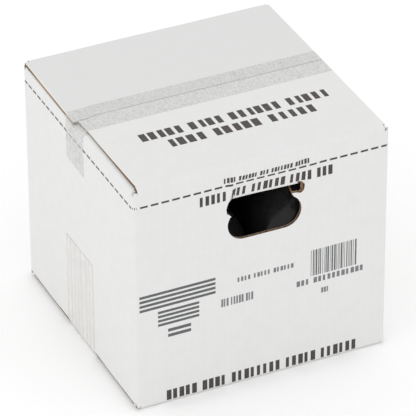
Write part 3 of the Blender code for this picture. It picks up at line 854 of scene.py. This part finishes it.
frontPrint = {
    "smallLine": {"at": (108.5, 21.2), "length": 104.5, "tall": 6.4, "groups": (4, 6, 3, 7, 5), "seed": 3},
    "largeLine": {"at": (79.5, 43.6), "length": 163.0, "tall": 12.2, "groups": (5, 3, 6, 4, 3), "seed": 8},
    "baseLine": {"at": (37.5, 288.0), "length": 239.0, "tall": 13.0, "groups": (5, 4, 8, 5, 6), "seed": 5},
}
markStripes = {
    "upper": {"at": (6.0, 161.5), "length": 92.0, "tall": 21.0, "count": 4},
    "middle": {"at": (28.0, 186.0), "length": 50.0, "tall": 20.0, "count": 4},
    "lower": {"at": (40.0, 203.0), "length": 28.0, "tall": 11.0, "count": 2},
}
datePrint = {
    "item": {"at": (125.0, 154.5), "length": 70.0, "tall": 6.0, "groups": (4, 5, 6), "seed": 31},
    "date": {"at": (105.0, 182.5), "length": 40.0, "tall": 10.5, "groups": (3, 5, 3), "seed": 33},
    "number": {"at": (198.0, 182.8), "length": 85.0, "tall": 7.4, "groups": (3, 11), "seed": 35},
    "count": {"at": (229.0, 199.0), "length": 10.0, "tall": 7.0, "groups": (3,), "seed": 37},
}
topPrint = {
    "nearFold": {"at": (253.0, 226.5), "length": 182.0, "tall": 15.5, "groups": (5, 5, 4), "seed": 41},
    "nearSeam": {"at": (279.5, 203.5), "length": 231.0, "tall": 15.5, "groups": (5, 6, 4, 5), "seed": 43},
}
barcode = {"at": (215.5, 173.0), "length": 59.0, "tall": 34.5, "seed": 6}
dashes = {"long": 9.0, "thick": 2.4, "pitch": 12.7, "drop": 25.9, "start": 4.0}


def printRows(ink, rows, panelName):
    for row in rows.values():
        ink.row(onPanel(panelName, *row["at"]), row["length"], row["tall"], row["groups"], row["seed"])


def printBarcode():
    ink = Ink()
    draw = random.Random(barcode["seed"])
    place, at = onPanel("front", *barcode["at"]), 0.0
    while at < barcode["length"] - 1.5:
        thick = draw.choice((0.7, 0.7, 1.3, 1.9))
        ink.block(place, at, 0, at + thick, barcode["tall"])
        at += thick + draw.choice((0.8, 0.8, 1.3, 1.8))
    ink.make("printBarcode", greyInk)


def printDashes():
    # one broken line all round, a little under the top
    ink = Ink(0.07, 1.5)
    v = height - dashes["drop"]
    u = dashes["start"]
    end = uTab - dashes["long"]
    while u < end:
        ink.block(lambda s, t, u=u: (u + s, v + t), 0, 0, dashes["long"], dashes["thick"])
        u += dashes["pitch"]
    ink.make("printDashes", darkInk)


def buildPrint():
    front = Ink(0.08, 1.5)
    printRows(front, frontPrint, "front")
    front.make("printFront", darkInk)
    rear = Ink()
    printRows(rear, frontPrint, "rear")
    rear.make("printRear", darkInk)
    mark = Ink()
    for band in markStripes.values():
        mark.stripes(onPanel("front", *band["at"]), band["length"], band["tall"], band["count"])
    mark.make("printMark", greyInk)
    dated = Ink()
    printRows(dated, datePrint, "front")
    dated.make("printDate", paleInk)
    top = Ink()
    for row in topPrint.values():
        top.row(onFrontFlap(*row["at"]), row["length"], row["tall"], row["groups"], row["seed"])
    top.make("printTop", darkInk)
    printBarcode()
    printDashes()


buildPrint()
print("print laid on")


# Tapes


topTape = {"width": 48.0, "y": 5.0, "leg": 60.0, "lift": 0.12, "film": 0.07, "columns": 72, "tooth": 0.9}
bottomTape = {"width": 75.0, "y": 0.0, "leg": 128.0, "lift": 0.14, "film": 0.1, "columns": 76, "tooth": 0.5}
# Steps along a tape: up a leg, over the edge and across, which ends a little short of the sides
tapeSteps = {"leg": 26, "edge": 14, "across": 70, "short": 16}


def flapPoint(x, y, top, w):
    # a point over a major flap, held at the flap's edge where it lies over the seam
    seam = carton["seamY"] if top else 0.0
    panel = panels["front"] if y < seam else panels["rear"]
    half = carton["seamGap"] / 2 + 0.02
    held = min(y, seam - half) if panel.name == "front" else max(y, seam + half)
    s = x if panel.name == "front" else -x
    inward = abs(panel.middle.y - held)
    past = cornerArc + inward - foldRadius
    v = panel.topFold + past if top else panel.bottomFold - past
    point = fold(panel.u + s, v, w) / mm
    return Vector((point.x, y, point.z))


def sidePoint(side, y, v, w):
    panel = panels["left"] if side < 0 else panels["right"]
    return fold(panel.u + side * y, v, w) / mm


def flapEnd(side, y, top):
    inset = carton["flapInset"]
    if top and side < 0:
        inset = carton["rearInset"] if y > carton["seamY"] else carton["frontInset"]
    return side * (width / 2 - inset)


def overTheEdge(side, y, top, w, count):
    # the stretched film from the side to the flap: the outer hull of the board's corner, at even steps
    panel = panels["left"]
    up = 1 if top else -1
    foldStart = panel.topFold if top else panel.bottomFold
    corner = [sidePoint(side, y, foldStart - up * 3 + up * (cornerArc + 3) * i / 10, w) for i in range(11)]
    end = flapEnd(side, y, top)
    corner += [flapPoint(end, y, top, w), flapPoint(end, y, top, -board / 2) + Vector((side * w * 0.1, 0, 0))]
    corner += [flapPoint(end - side * 10, y, top, w)]
    flat = sorted((-side * p.x, up * p.z) for p in corner)
    hull = []
    for point in flat:
        while len(hull) > 1:
            (x1, z1), (x2, z2) = hull[-2:]
            if (x2 - x1) * (point[1] - z1) - (z2 - z1) * (point[0] - x1) < 0:
                break
            hull.pop()
        hull.append(point)
    start = (flat[0][0], min(z for x, z in flat))
    hull = [start] + hull if hull[0][1] - start[1] > 0.5 else hull
    lengths = [0.0]
    for (x1, z1), (x2, z2) in zip(hull, hull[1:]):
        lengths.append(lengths[-1] + math.hypot(x2 - x1, z2 - z1))
    points = []
    for wanted in evenSteps(0.0, lengths[-1], count):
        points.append(Vector((-side * np.interp(wanted, lengths, [x for x, _ in hull]), y,
                              up * np.interp(wanted, lengths, [z for _, z in hull]))))
    return points


def legEnd(tape, side, y, top):
    # the height of a leg's end: saw teeth on the cut film, a ragged edge on the pulled one
    tooth = tape["tooth"] * abs((y / 1.4) % 2 - 1)
    if top:
        return height - tape["leg"] + tooth + 0.03 * (y - tape["y"])
    ragged = 1.6 * noise.noise(Vector((y / 9, side, 0))) + 0.9 * noise.noise(Vector((y / 2.2, side, 3)))
    return tape["leg"] - 1.5 + ragged + tooth


def tapeColumn(tape, y, top):
    w = board / 2 + tape["lift"]
    foldStart = panels["left"].topFold - 3 if top else panels["left"].bottomFold + 3
    left, right = [], []
    for side, points in ((-1, left), (1, right)):
        for v in evenSteps(legEnd(tape, side, y, top), foldStart, tapeSteps["leg"])[:-1]:
            points.append(sidePoint(side, y, v, w))
        points += overTheEdge(side, y, top, w, tapeSteps["edge"])
    reach = width / 2 - tapeSteps["short"]
    middle = [flapPoint(x, y, top, w) for x in evenSteps(-reach, reach, tapeSteps["across"])]
    return left + middle + right[::-1]


def tapeCrease(tape, point):
    # small folds in the film where it is pulled over the sunken left corner
    x, y, z = point
    fromCorner = math.hypot(x + width / 2, z - height)
    fade = 1 - smooth(4, 34, fromCorner)
    along = y - tape["y"]
    folds = 0.5 * bell(along - 4 - 0.3 * fromCorner, 2.2) + 0.35 * bell(along + 7 - 0.5 * fromCorner, 1.8)
    folds += 0.3 * bell(along + 15 + 0.2 * fromCorner, 1.6)
    return folds * fade if x < -width / 2 + 40 else 0.0


def buildTape(name, tape, top, finish, node):
    edges = evenSteps(tape["y"] - tape["width"] / 2, tape["y"] + tape["width"] / 2, tape["columns"])
    columns = [tapeColumn(tape, y, top) for y in edges]
    rows = len(columns[0])
    up = 1 if top else -1
    points, faces = [], []
    for column in columns:
        for point in column:
            outward = Vector((-0.7, 0, 0.7 * up)) * (tapeCrease(tape, point) if top else 0.0)
            points.append((point + outward) * mm)
    for c in range(len(columns) - 1):
        for r in range(rows - 1):
            near, far = c * rows + r, (c + 1) * rows + r
            quad = [near, near + 1, far + 1, far]
            faces.append(quad if top else quad[::-1])
    piece = newObject(name, points, faces, [finish])
    film = piece.modifiers.new("film", "SOLIDIFY")
    film.thickness = tape["film"] * mm
    film.offset = 1.0
    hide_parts(node)
    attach(piece, "root")


buildTape("tapeTop", topTape, True, clearFilmFinish(), "tape_top")
buildTape("tapeBottom", bottomTape, False, beigeFilmFinish(), "tape_bottom")
print("tapes stretched")


# Jugs, seen through the hand holes


jug = {
    "side": 145.6, "corner": 38.0, "base": 2 * board + carton["gap"] * 2 + dents["baseArch"], "segments": 18,
    "neck": 21.0, "cap": 24.4, "ribs": 60, "ribDepth": 0.5, "wallFrom": 30, "wallTopDrop": 134,
}
# The jug's curves: how far under the carton's top and how wide, or how far up from the base and how far in
jugCurves = {
    "heel": ((0, 5, 5), (0.8, 3, 3.4), (2.4, 1.2, 1.6), (6, 0, 0)),
    "shoulder": ((124, 72.8), (114, 71.0), (104, 67.4), (95, 63.0), (87, 57.8), (79, 51.4), (71, 43.2),
                 (64, 33.4), (58.5, 25.3)),
    "neck": ((55.5, 1.2), (53, 0), (46, 0), (45.4, 2.2), (43, 2.4), (42, 0.4), (38.4, 0)),
    "cap": ((37.9, 2, 0), (37.8, 0.3, 0), (36.6, 0, 0), (35.8, 0.4, 0.5), (16.4, 0.5, 0.5), (15.2, 0.6, 0),
            (13.9, 1.5, 0), (13.4, 3, 0), (13.7, 5, 0)),
}


def roundedSquare(half, corner, z):
    points = []
    straight = half - corner
    for quarter in range(4):
        angle = math.radians(45 + 90 * quarter)
        centre = (math.copysign(straight, math.cos(angle)), math.copysign(straight, math.sin(angle)))
        arc = arcPoints(centre, corner, 90 * quarter + 2, 90 * quarter + 88, jug["segments"])
        points += [(x, y, z) for x, y in arc]
    return points


def shoulderCurve():
    # an even curve through the shoulder's points
    known = jugCurves["shoulder"]
    curve = []
    for i in range(len(known) - 1):
        around = [known[min(max(i + k, 0), len(known) - 1)] for k in (-1, 0, 1, 2)]
        for share in evenSteps(0, 1, 4)[:-1]:
            curve.append(tuple(
                0.5 * (2 * b + (c - a) * share + (2 * a - 5 * b + 4 * c - d) * share ** 2
                       + (3 * b - a - 3 * c + d) * share ** 3)
                for a, b, c, d in zip(*around)))
    return curve + [known[-1]]


def jugRings():
    half, corner, base = jug["side"] / 2, jug["corner"], jug["base"]
    rings = [(base + up, half - inset, corner - cut) for up, inset, cut in jugCurves["heel"]]
    for level in evenSteps(base + jug["wallFrom"], height - jug["wallTopDrop"], 6):
        rings.append((level, half, corner))
    for drop, wide in shoulderCurve():
        roundness = smooth(118, 62, drop)
        rings.append((height - drop, wide, min(corner + (wide - corner) * roundness, wide)))
    for drop, wider in jugCurves["neck"]:
        rings.append((height - drop, jug["neck"] + wider, jug["neck"] + wider))
    return rings


def ringMesh(rings, ringPoints):
    points = [point for ring in rings for point in ringPoints(ring)]
    count = len(points) // len(rings)
    faces = [list(range(count))[::-1]]
    for r in range(len(rings) - 1):
        for i in range(count):
            j = (i + 1) % count
            faces.append([r * count + i, r * count + j, (r + 1) * count + j, (r + 1) * count + i])
    faces.append([(len(rings) - 1) * count + i for i in range(count)])
    return points, faces


def capRing(ring):
    z, radius, ribbed = ring
    around = jug["ribs"] * 4
    points = []
    for i in range(around):
        rib = ribbed * jug["ribDepth"] * (1 if i % 4 < 2 else -1)
        angle = 2 * math.pi * i / around
        points.append(((radius + rib) * math.cos(angle), (radius + rib) * math.sin(angle), z))
    return points


def buildJugs():
    bodyPoints, bodyFaces = ringMesh(jugRings(), lambda ring: roundedSquare(ring[1], ring[2], ring[0]))
    capRings = [(height - drop, jug["cap"] - inset, ribbed) for drop, inset, ribbed in jugCurves["cap"]]
    capPoints, capFaces = ringMesh(capRings, capRing)
    body = (bodyPoints, bodyFaces, jugFinish("darkJug", (0.010, 0.009, 0.010)))
    lid = (capPoints, capFaces, jugFinish("darkCap", (0.016, 0.014, 0.014)))
    for node in ("jug_front_left", "jug_front_right", "jug_rear_left", "jug_rear_right"):
        low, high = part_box(node)
        middle = (low + high) / 2
        _, depthName, sideName = node.split("_")
        for part, (points, faces, finish) in (("jug", body), ("cap", lid)):
            placed = [(x * mm + middle.x, y * mm + middle.y, z * mm) for x, y, z in points]
            piece = newObject(part + depthName.title() + sideName.title(), placed, faces, [finish])
            if part == "jug":
                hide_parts(node)
            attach(piece, "root")


buildJugs()
print("jugs packed")


# Floor, light and camera


studio = {
    "floor": 6.0, "floorTones": ((0.975, 0.975, 0.975), (0.99, 0.99, 0.99)), "sky": 1.02, "lampSize": 1.6,
    "aim": (0, 0, 0.15),
    "lamps": {"key": ((-2.4, -0.5, 1.2), 4.8), "fill": ((0.8, -2.4, 1.6), 2.0)},
}
view = {"azimuth": -24.96, "elevation": 32.92, "roll": -0.27, "distance": 13.63, "right": 0.014, "up": -0.022,
        "lens": 322.0, "sensor": 36.0, "farthest": 50.0}


def buildStudio():
    size = studio["floor"]
    finish = Finish("paleFloor", Roughness=0.9)
    shade = finish.noise(finish.objectPlace(), 2.0, 2, 0.5)
    finish.use(Base_Color=finish.mix(shade, *studio["floorTones"]))
    corners = [(-size, -size, 0), (size, -size, 0), (size, size, 0), (-size, size, 0)]
    newObject("floor", corners, [[0, 1, 2, 3]], [finish.material])
    scene = bpy.context.scene
    world = bpy.data.worlds.new("studioSky")
    scene.world = world
    world.use_nodes = True
    sky = world.node_tree.nodes["Background"]
    sky.inputs["Color"].default_value = (1, 1, 1, 1)
    sky.inputs["Strength"].default_value = studio["sky"]
    for name, (place, power) in studio["lamps"].items():
        lamp = bpy.data.lights.new(name, "AREA")
        lamp.energy, lamp.size = power, studio["lampSize"]
        softbox = bpy.data.objects.new(name, lamp)
        softbox.location = place
        softbox.rotation_euler = (Vector(studio["aim"]) - Vector(place)).to_track_quat("-Z", "Y").to_euler()
        scene.collection.objects.link(softbox)
    scene.view_settings.view_transform = "Standard"


def buildCamera():
    azimuth, elevation, roll = (math.radians(view[key]) for key in ("azimuth", "elevation", "roll"))
    level, rise = math.cos(elevation), math.sin(elevation)
    back = Vector((math.sin(azimuth) * level, -math.cos(azimuth) * level, rise))
    right = Vector((math.cos(azimuth), math.sin(azimuth), 0))
    up = back.cross(right)
    camera = bpy.data.objects.new("camera", bpy.data.cameras.new("camera"))
    offset = back * view["distance"] + right * view["right"] + up * view["up"]
    camera.location = Vector((0, 0, height / 2 * mm)) + offset * width * mm
    camera.rotation_euler = (-back).to_track_quat("-Z", "Y").to_euler()
    camera.rotation_euler.rotate_axis("Z", roll)
    camera.data.lens = view["lens"]
    camera.data.sensor_width = view["sensor"]
    camera.data.clip_end = view["farthest"]
    bpy.context.scene.collection.objects.link(camera)
    bpy.context.scene.camera = camera


buildStudio()
buildCamera()
print("studio lit")
